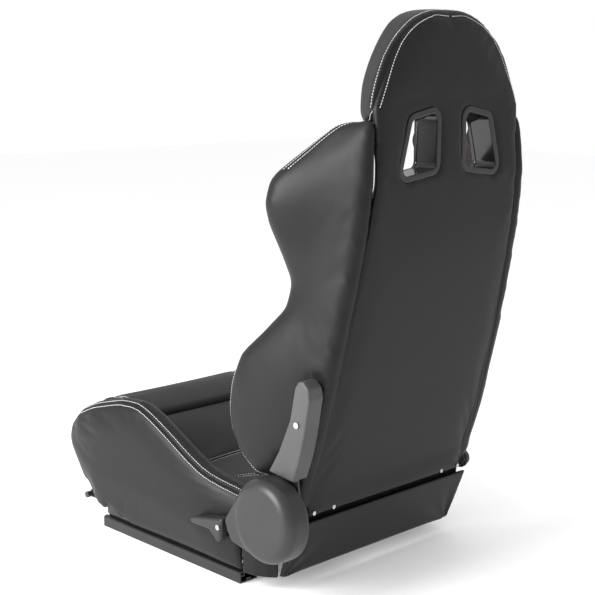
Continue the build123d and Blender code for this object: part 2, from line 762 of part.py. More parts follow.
def back_wing_right():
    """Right wing: closed over the hinge arm, open only round the hinge pin."""
    pad = stack([wing_section(z, half, y) for z, half, y in WING_EDGE])
    pad -= axis_rod(SMALL_DISC_R + 4.0, 209.5, 300)
    pad -= axis_rod(18.5, 206, 212)
    pad -= hinge_arm_body(0.7)
    for y, z in ARM_BOLTS:
        pad -= rod_x(y, z, 8.6, 150, HINGE_HIGH_X + 1)
        pad -= rod_x(y, z, 7.2, HINGE_HIGH_X, HINGE_HIGH_X + PLATE_THICK + 3.6)
    return other_side(pad)


def centre_pad(low, high, steps):
    """A pad of the backrest's centre, between two heights."""
    sections = []
    for i in range(steps + 1):
        z = low + (high - low) * i / steps
        front, back = front_y(z), rear_y(z) - PANEL_THICK - CAVITY
        soft = 6.0
        sections.append([(-CENTRE_HALF, back, z), (CENTRE_HALF, back, z), (CENTRE_HALF, front + soft, z),
                         (CENTRE_HALF - 24, front, z), (24 - CENTRE_HALF, front, z),
                         (-CENTRE_HALF, front + soft, z)])
    return stack(sections)


HEAD_FRONT, HEAD_BACK = 358.0, 423.0
HEAD = [(134, 654), (134, 768), (164, 770), (176, 786), (172, 808), (164, 830), (153, 852), (141, 872),
        (126, 892), (108, 910), (86, 926), (58, 937), (28, 942)]


def head_pad():
    """Upper pad and head restraint in one, with the two harness holes."""
    outline = HEAD + [(-x, z) for x, z in reversed(HEAD)]
    pad = plate_xz(outline, HEAD_FRONT, HEAD_BACK)
    pad = chamfer(pad.faces().sort_by(Axis.Y)[0].edges(), 9.0)
    pocket = hole_prism(TUNNEL_WALL + 1.0, 300, 500)
    return pad - pocket - other_side(pocket)


TUNNEL_SPLIT = 398.0


def bezel(y_flange, y_inner):
    """Half of a harness hole's lining: a flange outside and a sleeve to the middle of the hole."""
    low, high = min(y_flange, y_inner), max(y_flange, y_inner)
    sleeve = hole_prism(TUNNEL_WALL, low, high)
    if y_flange > y_inner:
        flange = hole_prism(FLANGE, y_flange, y_flange + 3.0)
    else:
        flange = hole_prism(FLANGE, y_flange - 3.0, y_flange)
    return sleeve + flange - hole_prism(0, low - 10, high + 10)


def bezel_rear():
    return bezel(RECESS_Y + 0.4, TUNNEL_SPLIT + 0.2)


def bezel_front():
    return bezel(HEAD_FRONT - 0.8, TUNNEL_SPLIT - 0.2)


add("rear_panel", rear_panel())
add("back_wing_left", back_wing_left())
add("back_wing_right", back_wing_right())
add_pair("wing_insert", wing_insert)
add("lumbar_pad", centre_pad(172, 396, 6))
add("back_pad", centre_pad(399, 650, 5))
add("head_pad", head_pad())
add_pair("harness_bezel_rear", bezel_rear)
add_pair("harness_bezel_front", bezel_front)
add("push_pins", *[rod_y(x, 144.0, 3.5, rear_y(144) + 0.7, rear_y(144) + 2.5)
                   for x in (181, 136, -136, -181)])


# ---- slide release bar --------------------------------------------------------------------------

BAR_PIVOT = (-120.0, 44.0)
BAR_ARM_X = 184.0
LATCH_REACH = 60.0         # the latch, behind the pivot
GRIP_Y, GRIP_Z = -291.0, 29.0
GRIP_R = 6.0
GRIP_HALF = 199.0          # half the grip tube's length


def release_arm():
    """Arm from the grip back to the pivot, ending in the latch beside the track."""
    y, z = BAR_PIVOT
    tail = y + LATCH_REACH
    tube_y = CROSS_TUBES[0][0]
    upper = [(GRIP_Y - 8, GRIP_Z - 3), (GRIP_Y - 3, GRIP_Z + 8), (tube_y - 22, 36), (tube_y + 14, 40),
             (y - 8, z + 6), (y, z + 8), (y + 8, z + 6), (tail, z)]
    lower = [(tail, z - 8), (y, z - 8), (tube_y, 29), (GRIP_Y, GRIP_Z - 8)]
    arm = plate_yz(upper + lower, BAR_ARM_X - 2, BAR_ARM_X + 2)
    return arm - rod_x(y, z, 4.05, 150, 200) - rod_x(GRIP_Y, GRIP_Z, GRIP_R, 150, 200)


def release_pivot():
    y, z = BAR_PIVOT
    return rod_x(y, z, 4.0, BAR_ARM_X - 4, BASE_PLATE_X) + rod_x(y, z, 7.0, BAR_ARM_X + 3, BAR_ARM_X + 8)


def slide_latch():
    """Latch plate with three teeth beside the notches of the floor track."""
    y = BAR_PIVOT[0] + LATCH_REACH
    x0, x1 = BAR_ARM_X + 2, BAR_ARM_X + 5
    top = BAR_PIVOT[1] - 4
    plate = block(x0, x1, y - 34, y + 8, top - 8, top)
    for i in range(3):
        tooth = y - 32 + NOTCH_STEP * i
        plate += block(x0, x1, tooth, tooth + 6, NOTCH_TOP - 1, top - 7)
    return plate


add("release_grip", rod_x(GRIP_Y, GRIP_Z, GRIP_R - 0.05, -GRIP_HALF, GRIP_HALF))
add_pair("release_arm", release_arm)
add("release_pivots", release_pivot(), other_side(release_pivot()))
add_pair("slide_latch", slide_latch)


# ---- write the parts ----------------------------------------------------------------------------

os.makedirs("parts", exist_ok=True)
for name, shape in NODES.items():
    export_step(shape, f"parts/{name}.step")
print(len(NODES), "nodes written")
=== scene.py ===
import json
from math import cos, pi, radians, sin

import bpy
import numpy as np
from mathutils import Matrix, Vector
from mathutils.bvhtree import BVHTree
from mathutils.kdtree import KDTree

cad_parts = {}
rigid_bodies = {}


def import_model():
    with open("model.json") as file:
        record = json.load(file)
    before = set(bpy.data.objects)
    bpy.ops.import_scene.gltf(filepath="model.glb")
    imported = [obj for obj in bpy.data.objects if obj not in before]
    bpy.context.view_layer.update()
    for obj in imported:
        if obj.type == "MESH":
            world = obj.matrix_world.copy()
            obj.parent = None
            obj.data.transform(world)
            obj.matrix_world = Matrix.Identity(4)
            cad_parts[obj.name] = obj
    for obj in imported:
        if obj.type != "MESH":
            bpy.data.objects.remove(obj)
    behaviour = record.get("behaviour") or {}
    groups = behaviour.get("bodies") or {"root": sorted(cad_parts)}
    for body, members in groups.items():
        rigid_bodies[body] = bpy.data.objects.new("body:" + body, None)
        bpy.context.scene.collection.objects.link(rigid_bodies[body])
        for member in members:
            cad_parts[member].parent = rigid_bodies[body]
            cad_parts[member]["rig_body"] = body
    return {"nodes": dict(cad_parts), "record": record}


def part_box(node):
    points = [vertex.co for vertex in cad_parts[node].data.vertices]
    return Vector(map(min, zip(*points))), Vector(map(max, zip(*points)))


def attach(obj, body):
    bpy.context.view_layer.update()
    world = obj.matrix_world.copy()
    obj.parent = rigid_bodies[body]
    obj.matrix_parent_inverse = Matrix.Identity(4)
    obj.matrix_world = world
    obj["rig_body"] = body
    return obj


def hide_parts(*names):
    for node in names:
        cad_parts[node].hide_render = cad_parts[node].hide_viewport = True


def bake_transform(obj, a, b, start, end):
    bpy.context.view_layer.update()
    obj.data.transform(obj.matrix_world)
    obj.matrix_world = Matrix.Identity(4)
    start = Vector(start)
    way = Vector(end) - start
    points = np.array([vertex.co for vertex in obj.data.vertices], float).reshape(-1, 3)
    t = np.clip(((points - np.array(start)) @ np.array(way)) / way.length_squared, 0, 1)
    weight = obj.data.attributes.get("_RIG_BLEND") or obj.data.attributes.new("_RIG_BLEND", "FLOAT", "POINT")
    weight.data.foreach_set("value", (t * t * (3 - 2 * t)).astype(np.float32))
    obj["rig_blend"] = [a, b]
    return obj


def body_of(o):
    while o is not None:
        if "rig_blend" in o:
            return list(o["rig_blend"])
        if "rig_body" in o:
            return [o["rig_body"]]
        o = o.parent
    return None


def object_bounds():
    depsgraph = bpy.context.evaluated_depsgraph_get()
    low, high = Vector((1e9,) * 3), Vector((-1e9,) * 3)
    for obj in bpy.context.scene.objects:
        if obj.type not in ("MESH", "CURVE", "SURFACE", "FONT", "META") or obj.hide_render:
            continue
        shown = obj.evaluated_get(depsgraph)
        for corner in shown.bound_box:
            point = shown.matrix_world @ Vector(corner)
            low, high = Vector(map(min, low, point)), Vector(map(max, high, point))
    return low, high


# Looks for a reclining sports seat: padded covers, stitching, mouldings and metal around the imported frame.
# Everything is in metres, +Z up; the sitter faces -Y and +X is the side with the recline lever.

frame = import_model()
cad_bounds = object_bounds()
nodes = frame["nodes"]
scene = bpy.context.scene
MM = 0.001
X, Y, Z = 0, 1, 2


# ---- meshes -------------------------------------------------------------------------------------

def points_of(obj):
    flat = np.empty(len(obj.data.vertices) * 3)
    obj.data.vertices.foreach_get("co", flat)
    return flat.reshape(-1, 3)


def set_points(obj, points):
    obj.data.vertices.foreach_set("co", points.ravel())
    obj.data.update()


def normals_of(obj):
    flat = np.empty(len(obj.data.vertices) * 3)
    obj.data.vertex_normals.foreach_get("vector", flat)
    return flat.reshape(-1, 3)


def edges_of(obj):
    flat = np.empty(len(obj.data.edges) * 2, int)
    obj.data.edges.foreach_get("vertices", flat)
    return flat.reshape(-1, 2)


def tree_of(obj):
    return BVHTree.FromPolygons([v.co for v in obj.data.vertices], [p.vertices for p in obj.data.polygons])


def new_object(name, points, faces):
    mesh = bpy.data.meshes.new(name)
    mesh.from_pydata([tuple(p) for p in points], [], faces)
    mesh.update()
    obj = bpy.data.objects.new(name, mesh)
    scene.collection.objects.link(obj)
    return obj


def copy_of(source, name):
    """A free copy of a node or piece, with one mesh and no material."""
    mesh = source.data.copy()
    mesh.materials.clear()
    obj = bpy.data.objects.new(name, mesh)
    scene.collection.objects.link(obj)
    return obj


def bake(obj):
    """Applies obj's modifiers."""
    bpy.context.view_layer.update()
    shown = obj.evaluated_get(bpy.context.evaluated_depsgraph_get())
    mesh = bpy.data.meshes.new_from_object(shown)
    obj.modifiers.clear()
    obj.data = mesh


def modify(obj, kind, **settings):
    modifier = obj.modifiers.new(kind.lower(), kind)
    for key, value in settings.items():
        setattr(modifier, key, value)
    bake(obj)


def smooth_shaded(obj):
    obj.data.polygons.foreach_set("use_smooth", [True] * len(obj.data.polygons))
    obj.data.update()


def remesh(obj, size):
    modify(obj, "REMESH", mode="VOXEL", voxel_size=size)


def relax(obj, rounds, hold=None, strength=0.5):
    """Evens the surface out. hold is 1 at a point that stays where it is."""
    points = points_of(obj)
    a, b = edges_of(obj).T
    count = len(points)
    degree = np.maximum(np.bincount(a, minlength=count) + np.bincount(b, minlength=count), 1)
    free = np.full(count, strength) if hold is None else strength * (1.0 - hold)
    for _ in range(rounds):
        mean = np.empty_like(points)
        for k in (X, Y, Z):
            mean[:, k] = np.bincount(a, points[b, k], count) + np.bincount(b, points[a, k], count)
            mean[:, k] /= degree
        points += free[:, None] * (mean - points)
    set_points(obj, points)


def distances(points, path, reach):
    """Each point's distance to a path's samples, and reach or more where it is further than that."""
    path = np.asarray(path)
    found = np.full(len(points), reach)
    low, high = path.min(0) - reach, path.max(0) + reach
    near = np.nonzero(((points >= low) & (points <= high)).all(1))[0]
    tree = KDTree(len(path))
    for i, p in enumerate(path):
        tree.insert(p, i)
    tree.balance()
    for i in near:
        found[i] = min(reach, tree.find(points[i])[2])
    return found


def mark(obj, name, values):
    """Keeps the greater of the old and new values of a point attribute."""
    layer = obj.data.attributes.get(name)
    if layer is None:
        layer = obj.data.attributes.new(name, "FLOAT", "POINT")
    old = np.empty(len(values))
    layer.data.foreach_get("value", old)
    layer.data.foreach_set("value", np.maximum(old, values))


def mirrored(source, name):
    """The other side's copy of a finished piece."""
    obj = bpy.data.objects.new(name, source.data.copy())
    scene.collection.objects.link(obj)
    obj.data.transform(Matrix.Scale(-1.0, 4, Vector((1, 0, 0))))
    obj.data.flip_normals()
    obj.data.update()
    return obj


def across(path):
    """A path on the other side of the seat."""
    return np.asarray(path) * (-1.0, 1.0, 1.0)


# ---- paths --------------------------------------------------------------------------------------

def cross_sections(node, axis, least=20):
    """A node's own cross-sections, in order along an axis."""
    points = points_of(nodes[node])
    places = np.round(points[:, axis], 4)
    values, counts = np.unique(places, return_counts=True)
    return [points[places == v] for v, c in zip(values, counts) if c >= least]


def curve(points, step=1.0 * MM):
    """A smooth line through points, sampled evenly."""
    points = np.asarray(points, float)
    padded = np.vstack([2 * points[0] - points[1], points, 2 * points[-1] - points[-2]])
    line = []
    for p0, p1, p2, p3 in zip(padded, padded[1:], padded[2:], padded[3:]):
        for t in np.linspace(0, 1, 24, endpoint=False):
            line.append(0.5 * (2 * p1 + (p2 - p0) * t + (2 * p0 - 5 * p1 + 4 * p2 - p3) * t ** 2
                               + (3 * p1 - p0 - 3 * p2 + p3) * t ** 3))
    line.append(points[-1])
    return evenly(line, step)


def evenly(line, step):
    line = np.asarray(line)
    along = np.concatenate([[0], np.cumsum(np.linalg.norm(np.diff(line, axis=0), axis=1))])
    places = np.linspace(0, along[-1], max(2, int(along[-1] / step) + 1))
    return np.stack([np.interp(places, along, line[:, k]) for k in (X, Y, Z)], 1)


def settled(path, trees, window=5):
    """A path laid on the nearest of some surfaces, with the surface's normal at each sample."""
    spots, normals = [], []
    for p in path:
        hits = [tree.find_nearest(Vector(p)) for tree in trees]
        best = min(hits, key=lambda h: h[3])
        spots.append(best[0])
        normals.append(best[1])
    spots, normals = np.array(spots), np.array(normals)
    kernel = np.ones(window) / window
    for values in (spots, normals):
        for k in (X, Y, Z):
            padded = np.pad(values[:, k], window // 2, mode="edge")
            values[:, k] = np.convolve(padded, kernel, mode="valid")
    return spots, normals / np.linalg.norm(normals, axis=1)[:, None]


# ---- padded covers ------------------------------------------------------------------------------

VOXEL = 4.5 * MM
CLOTH_FRAMES = 14
PADS = []


def pad_blank(name, node, rounds=12, voxel=VOXEL, shape=None, hold=None, swell=0.0, dip=None):
    """A pad's foam, from its CAD solid: remeshed, rounded over, and swollen by what that took off."""
    obj = copy_of(nodes[node], name)
    if shape is not None:
        set_points(obj, shape(points_of(obj)))
    remesh(obj, voxel)
    if dip is not None:
        set_points(obj, dip(points_of(obj)))
    still = None if hold is None else hold(points_of(obj))
    relax(obj, rounds, still)
    set_points(obj, points_of(obj) + normals_of(obj) * swell)
    return obj


def stuff(obj, pinned, pressure, cap):
    """Sets obj up to be blown up against its seams; pinned is 1 at a point that is sewn down."""
    group = obj.vertex_groups.new(name="sewn")
    for level in (0.25, 0.5, 0.75, 1.0):
        chosen = np.nonzero(np.round(pinned * 4) / 4 == level)[0]
        if len(chosen):
            group.add(chosen.tolist(), level, "REPLACE")
    cloth = obj.modifiers.new("cloth", "CLOTH")
    cloth.point_cache.frame_start = 1
    cloth.point_cache.frame_end = CLOTH_FRAMES
    cloth.collision_settings.use_collision = False
    cloth.settings.quality = 4
    cloth.settings.mass = 0.4
    cloth.settings.tension_stiffness = 25.0
    cloth.settings.compression_stiffness = 25.0
    cloth.settings.shear_stiffness = 12.0
    cloth.settings.bending_stiffness = 2.0
    cloth.settings.use_pressure = True
    cloth.settings.uniform_pressure_force = pressure
    cloth.settings.effector_weights.gravity = 0.0
    cloth.settings.vertex_group_mass = "sewn"
    PADS.append((obj, points_of(obj), cap))


def inflate_pads():
    """Runs every pad's cloth at once, and keeps the result within each pad's cap."""
    for number in range(1, CLOTH_FRAMES + 1):
        scene.frame_set(number)
    for obj, before, cap in PADS:
        if obj.modifiers:
            bake(obj)
            moved = points_of(obj) - before
            length = np.maximum(np.linalg.norm(moved, axis=1), 1e-9)
            moved *= (cap * np.tanh(length / cap) / length)[:, None]
            set_points(obj, before + moved)
    scene.frame_set(1)


def fade(values, near, far):
    """1 up to near, 0 from far."""
    t = np.clip((values - near) / (far - near), 0, 1)
    return 1 - t * t * (3 - 2 * t)


def groove(obj, path, depth=1.8 * MM, width=2.6 * MM):
    """Sinks a sewn seam into a pad, with a soft dip beside it, and marks the seam line where the leather
    gets painted shade.
    """
    points = points_of(obj)
    away = distances(points, path, 8 * width)
    narrow = np.exp(-(away / width) ** 2)
    wide = np.exp(-(away / (3.2 * width)) ** 2)
    set_points(obj, points - normals_of(obj) * (depth * (0.75 * narrow + 0.25 * wide))[:, None])
    # The seam mark drives painted shade: it darkens the leather's colour in the groove.
    mark(obj, "seam", narrow)


def press_in(obj, cover, depth, reach, direction):
    """Dips a pad around something that is screwed down on it."""
    points = points_of(obj)
    away = distances(points, points_of(cover), 2.5 * reach)
    set_points(obj, points + np.array(direction) * (depth * np.exp(-(away / reach) ** 2))[:, None])


def tuck_under(obj, cover, gap):
    """Keeps the skin of the back behind a cover's flange, seen along Y."""
    tree = tree_of(cover)
    points = points_of(obj)
    near = distances(points, points_of(cover), 20 * MM) < 16 * MM
    for i in np.nonzero(near)[0]:
        x, y, z = points[i]
        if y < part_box("rear_panel")[0].y:
            continue
        hit = tree.ray_cast(Vector((x, 1.0, z)), Vector((0, -1, 0)))[0]
        if hit is not None and hit.y - y < gap:
            points[i, Y] = hit.y - gap
    set_points(obj, points)


def cover_pad(obj, body, node, material):
    """The last steps of every pad."""
    smooth_shaded(obj)
    obj.data.materials.clear()
    obj.data.materials.append(material)
    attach(obj, body)
    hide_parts(node)


# ---- stitching ----------------------------------------------------------------------------------

STITCH = 3.5 * MM
STITCH_STEP = 4.7 * MM
THREAD = 0.55 * MM


def stitch_row(points, faces, path, trees):
    """Adds a row of stitches, each a short rounded dash half sunk in the leather."""
    spots, normals = settled(path, trees)
    along = np.concatenate([[0], np.cumsum(np.linalg.norm(np.diff(spots, axis=0), axis=1))])

    def at(values, place):
        return np.array([np.interp(place, along, values[:, k]) for k in (X, Y, Z)])

    for number in range(int(along[-1] / STITCH_STEP)):
        start = number * STITCH_STEP
        rings = []
        for share in (0.0, 0.12, 0.5, 0.88, 1.0):
            place = start + share * STITCH
            spot, normal = at(spots, place), at(normals, place)
            tangent = at(spots, place + 0.5 * MM) - at(spots, place - 0.5 * MM)
            tangent /= max(np.linalg.norm(tangent), 1e-9)
            side = np.cross(tangent, normal)
            side /= max(np.linalg.norm(side), 1e-9)
            size = THREAD * (0.45 if share in (0.0, 1.0) else 1.0)
            lift = THREAD * (-0.7 if share in (0.0, 1.0) else 0.45)
            rings.append([spot + normal * (lift + size * sin(a)) + side * size * 1.1 * cos(a)
                          for a in np.arange(6) * pi / 3])
        first = len(points)
        for ring in rings:
            points.extend(ring)
        for r in range(len(rings) - 1):
            for k in range(6):
                low, next_low = first + 6 * r + k, first + 6 * r + (k + 1) % 6
                faces.append((low, next_low, next_low + 6, low + 6))
        faces.append(tuple(first + k for k in range(5, -1, -1)))
        faces.append(tuple(first + 6 * (len(rings) - 1) + k for k in range(6)))


def stitching(name, body, paths, pads):
    """One piece of thread work: all the rows named in paths, laid on those pads."""
    trees = [tree_of(p) for p in pads]
    points, faces = [], []
    for path in paths:
        stitch_row(points, faces, path, trees)
    obj = new_object(name, points, faces)
    smooth_shaded(obj)
    obj.data.materials.append(thread)
    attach(obj, body)


# ---- materials ----------------------------------------------------------------------------------

class Shader:
    """A Principled material and the nodes that feed it."""

    def __init__(self, name, **sockets):
        self.material = bpy.data.materials.new(name)
        self.material.use_nodes = True
        self.tree = self.material.node_tree
        self.bsdf = self.tree.nodes["Principled BSDF"]
        for key, value in sockets.items():
            self.bsdf.inputs[key.replace("_", " ")].default_value = value
        self.place = self.node("ShaderNodeTexCoord").outputs["Object"]

    def node(self, kind, **settings):
        node = self.tree.nodes.new(kind)
        for key, value in settings.items():
            setattr(node, key, value)
        return node

    def join(self, source, target):
        self.tree.links.new(source, target)

    def noise(self, scale, detail=3.0, rough=0.55, stretch=None):
        node = self.node("ShaderNodeTexNoise")
        node.inputs["Scale"].default_value = scale
        node.inputs["Detail"].default_value = detail
        node.inputs["Roughness"].default_value = rough
        self.join(self.stretched(stretch), node.inputs["Vector"])
        return node.outputs["Fac"]

    def cells(self, scale, feature="F1", stretch=None):
        node = self.node("ShaderNodeTexVoronoi", feature=feature)
        node.inputs["Scale"].default_value = scale
        self.join(self.stretched(stretch), node.inputs["Vector"])
        return node.outputs["Distance"]

    def stretched(self, stretch):
        if stretch is None:
            return self.place
        node = self.node("ShaderNodeMapping")
        node.inputs["Scale"].default_value = stretch
        self.join(self.place, node.inputs["Vector"])
        return node.outputs["Vector"]

    def attribute(self, name):
        return self.node("ShaderNodeAttribute", attribute_name=name).outputs["Fac"]

    def math(self, operation, a, b):
        node = self.node("ShaderNodeMath", operation=operation)
        for socket, value in zip(node.inputs, (a, b)):
            if isinstance(value, (int, float)):
                socket.default_value = value
            else:
                self.join(value, socket)
        return node.outputs[0]

    def ramp(self, source, stops):
        """Colours along a value: stops are (place, colour or grey)."""
        node = self.node("ShaderNodeValToRGB")
        ramp = node.color_ramp
        while len(ramp.elements) < len(stops):
            ramp.elements.new(0.5)
        for element, (place, colour) in zip(ramp.elements, stops):
            element.position = place
            element.color = colour if len(np.shape(colour)) else (colour, colour, colour, 1)
        self.join(source, node.inputs["Fac"])
        return node.outputs["Color"]

    def span(self, source, low, high):
        """A value from 0 to 1 brought to a range."""
        node = self.node("ShaderNodeMapRange")
        node.inputs["To Min"].default_value = low
        node.inputs["To Max"].default_value = high
        self.join(source, node.inputs["Value"])
        return node.outputs["Result"]

    def bump(self, *layers):
        """Bump from (height, distance in metres, strength) layers."""
        normal = None
        for height, distance, strength in layers:
            node = self.node("ShaderNodeBump")
            node.inputs["Distance"].default_value = distance
            node.inputs["Strength"].default_value = strength
            self.join(height, node.inputs["Height"])
            if normal is not None:
                self.join(normal, node.inputs["Normal"])
            normal = node.outputs["Normal"]
        self.join(normal, self.bsdf.inputs["Normal"])

    def colour(self, source):
        self.join(source, self.bsdf.inputs["Base Color"])

    def rough(self, source):
        self.join(source, self.bsdf.inputs["Roughness"])


def tones(colour, *factors):
    return [tuple(min(1.0, c * f) for c in colour) + (1.0,) for f in factors]


def leather(name, colour, gloss):
    """Coated fabric with a fine pebble grain, worn a little glossier in patches, with painted shade
    darkening its sunk seams.
    """
    s = Shader(name, IOR=1.5, Specular_IOR_Level=0.24)
    cloud = s.noise(5.0, 4.0)
    fleck = s.noise(60.0, 3.0)
    mixed = s.math("ADD", s.math("MULTIPLY", cloud, 0.7), s.math("MULTIPLY", fleck, 0.3))
    low, mid, high = tones(colour, 0.82, 1.0, 1.2)
    base = s.ramp(mixed, [(0.3, low), (0.5, mid), (0.72, high)])
    # Painted shade: the colour is darkened towards grey 0.25 along the sunk seam grooves, through the seam
    # mark that groove() leaves.
    painted_seam_shade = s.node("ShaderNodeMix", data_type="RGBA", blend_type="MULTIPLY")
    s.join(s.math("MULTIPLY", s.attribute("seam"), 0.75), painted_seam_shade.inputs["Factor"])
    s.join(base, painted_seam_shade.inputs[6])
    painted_seam_shade.inputs[7].default_value = (0.25, 0.25, 0.25, 1)
    s.colour(painted_seam_shade.outputs[2])
    pebble = s.cells(820.0, "DISTANCE_TO_EDGE")
    pores = s.noise(2600.0, 2.0)
    s.rough(s.math("ADD", s.span(cloud, gloss - 0.07, gloss + 0.08), s.span(pebble, 0.05, -0.04)))
    creases = s.noise(38.0, 5.0, 0.6)
    s.bump((creases, 0.5 * MM, 0.25), (pebble, 0.12 * MM, 0.55), (pores, 0.03 * MM, 0.4))
    return s.material


def moulding(name, colour, gloss):
    """Moulded plastic with a fine spark-eroded texture and faint scuffs."""
    s = Shader(name, IOR=1.46)
    cloud = s.noise(9.0, 4.0)
    low, mid, high = tones(colour, 0.85, 1.0, 1.15)
    s.colour(s.ramp(cloud, [(0.32, low), (0.5, mid), (0.7, high)]))
    texture = s.noise(1500.0, 4.0, 0.7)
    scuff = s.noise(26.0, 6.0, 0.7, stretch=(1.0, 1.0, 5.0))
    s.rough(s.math("ADD", s.span(cloud, gloss - 0.04, gloss + 0.05), s.span(scuff, -0.05, 0.05)))
    s.bump((scuff, 0.2 * MM, 0.12), (texture, 0.08 * MM, 0.5))
    return s.material


def polished(name, colour, gloss):
    """Glossy black plastic with hairline marks."""
    s = Shader(name, IOR=1.5)
    smear = s.noise(18.0, 5.0)
    low, high = tones(colour, 0.85, 1.3)
    s.colour(s.ramp(smear, [(0.3, low), (0.7, high)]))
    hair = s.noise(240.0, 4.0, 0.7, stretch=(1.0, 0.15, 1.0))
    s.rough(s.math("ADD", s.span(smear, gloss, gloss + 0.1), s.span(hair, -0.02, 0.04)))
    s.bump((smear, 0.3 * MM, 0.1), (hair, 0.02 * MM, 0.3))
    return s.material


def painted(name, colour, gloss):
    """Painted steel with orange peel, and rubbed patches where bare metal starts to show."""
    s = Shader(name, IOR=1.5)
    cloud = s.noise(14.0, 5.0, 0.6)
    wear = s.noise(75.0, 6.0, 0.7)
    low, mid, high = tones(colour, 0.8, 1.0, 1.5)
    s.colour(s.ramp(cloud, [(0.3, low), (0.5, mid), (0.75, high)]))
    rubbed = s.ramp(s.math("MULTIPLY", cloud, wear), [(0.40, 0.0), (0.47, 1.0)])
    s.join(s.span(rubbed, 0.0, 0.55), s.bsdf.inputs["Metallic"])
    peel = s.noise(420.0, 2.0)
    s.rough(s.math("ADD", s.span(cloud, gloss - 0.04, gloss + 0.08), s.span(rubbed, 0.0, 0.15)))
    s.bump((peel, 0.06 * MM, 0.35), (wear, 0.03 * MM, 0.3))
    return s.material


def metal(name, colour, gloss, stretch=(1.0, 1.0, 1.0)):
    """Plated or bare steel with drawn marks."""
    s = Shader(name, Metallic=1.0)
    cloud = s.noise(40.0, 4.0)
    marks = s.noise(900.0, 4.0, 0.7, stretch=stretch)
    low, mid, high = tones(colour, 0.75, 1.0, 1.1)
    s.colour(s.ramp(cloud, [(0.3, low), (0.55, mid), (0.75, high)]))
    s.rough(s.math("ADD", s.span(cloud, gloss - 0.06, gloss + 0.1), s.span(marks, -0.05, 0.08)))
    s.bump((marks, 0.03 * MM, 0.4),)
    return s.material


def thread_material():
    """Twisted polyester thread."""
    s = Shader("thread", IOR=1.45, Roughness=0.6)
    cloud = s.noise(70.0, 3.0)
    s.colour(s.ramp(cloud, [(0.3, (0.50, 0.49, 0.46, 1)), (0.7, (0.72, 0.71, 0.68, 1))]))
    twist = s.noise(2200.0, 2.0, 0.5, stretch=(1.0, 0.5, 0.5))
    s.rough(s.span(twist, 0.5, 0.75))
    s.bump((twist, 0.15 * MM, 0.6),)
    return s.material


black_pvc = leather("black_pvc", (0.0072, 0.0072, 0.0076), 0.42)
red_pvc = leather("red_pvc", (0.55, 0.012, 0.010), 0.45)
cover_plastic = moulding("cover_plastic", (0.020, 0.020, 0.021), 0.40)
blade_plastic = moulding("blade_plastic", (0.060, 0.060, 0.062), 0.42)
bezel_gloss = polished("bezel_gloss", (0.010, 0.010, 0.011), 0.12)
rail_paint = painted("rail_paint", (0.012, 0.012, 0.013), 0.2)
frame_paint = painted("frame_paint", (0.022, 0.022, 0.023), 0.38)
zinc = metal("zinc", (0.52, 0.52, 0.51), 0.30)
spring_steel = metal("spring_steel", (0.36, 0.36, 0.37), 0.38, stretch=(1.0, 0.2, 1.0))
thread = thread_material()
SLOT_MATERIALS = {"black_pvc": black_pvc, "red_pvc": red_pvc, "cover_plastic": cover_plastic,
                  "blade_plastic": blade_plastic, "bezel_gloss": bezel_gloss, "rail_paint": rail_paint,
                  "frame_paint": frame_paint, "zinc": zinc, "spring_steel": spring_steel}


def slot_of(node):
    return next(p["material_slot"] for p in frame["record"]["subparts"] if p["node"] == node)


for name, node in nodes.items():
    node.data.materials.clear()
    node.data.materials.append(SLOT_MATERIALS[slot_of(name)])


# ---- camera, light and floor --------------------------------------------------------------------

def lamp(name, place, aim, size, power):
    light = bpy.data.lights.new(name, "AREA")
    light.shape = "RECTANGLE"
    light.size, light.size_y = size
    light.energy = power
    obj = bpy.data.objects.new(name, light)
    obj.location = place
    obj.rotation_euler = (Vector(aim) - Vector(place)).to_track_quat("-Z", "Y").to_euler()
    scene.collection.objects.link(obj)


def studio():
    low, high = cad_bounds
    middle = (low + high) / 2
    size = 9.0
    floor = new_object("floor", [(-size, -size, 0), (size, -size, 0), (size, size, 0), (-size, size, 0)],
                       [(0, 1, 2, 3)])
    paint = Shader("floor_paint", Roughness=0.7, Emission_Strength=0.2, Emission_Color=(1, 1, 1, 1))
    tone = paint.noise(1.2, 2.0)
    paint.colour(paint.ramp(tone, [(0.3, 0.955), (0.7, 0.965)]))
    floor.data.materials.append(paint.material)
    world = bpy.data.worlds.new("studio")
    world.use_nodes = True
    links = world.node_tree.links
    seen = world.node_tree.nodes.new("ShaderNodeLightPath").outputs["Is Camera Ray"]
    strength = world.node_tree.nodes.new("ShaderNodeMapRange")
    strength.inputs["To Min"].default_value = 0.8
    strength.inputs["To Max"].default_value = 1.0
    background = world.node_tree.nodes["Background"]
    background.inputs["Color"].default_value = (1, 1, 1, 1)
    links.new(seen, strength.inputs["Value"])
    links.new(strength.outputs["Result"], background.inputs["Strength"])
    scene.world = world
    scene.view_settings.view_transform = "Standard"
    lamp("side", middle + Vector((2.6, -0.5, 0.9)), middle, (1.4, 1.6), 125)
    lamp("top", middle + Vector((0.1, 0.1, 2.4)), middle, (2.2, 2.2), 12)


CAMERA_PLACE = (1572.1 * MM, 1721.3 * MM, 854.2 * MM)
CAMERA_YAW = radians(44.0)
CAMERA_PITCH = radians(10.28)
CAMERA_LENS = 78.06


def camera():
    data = bpy.data.cameras.new("camera")
    data.sensor_width = 36.0
    data.lens = CAMERA_LENS
    obj = bpy.data.objects.new("camera", data)
    forward = Vector((-sin(CAMERA_YAW) * cos(CAMERA_PITCH), -cos(CAMERA_YAW) * cos(CAMERA_PITCH),
                      -sin(CAMERA_PITCH)))
    obj.location = CAMERA_PLACE
    obj.rotation_euler = forward.to_track_quat("-Z", "Y").to_euler()
    scene.collection.objects.link(obj)
    scene.camera = obj


camera()
studio()


# ---- pads: shapes -------------------------------------------------------------------------------

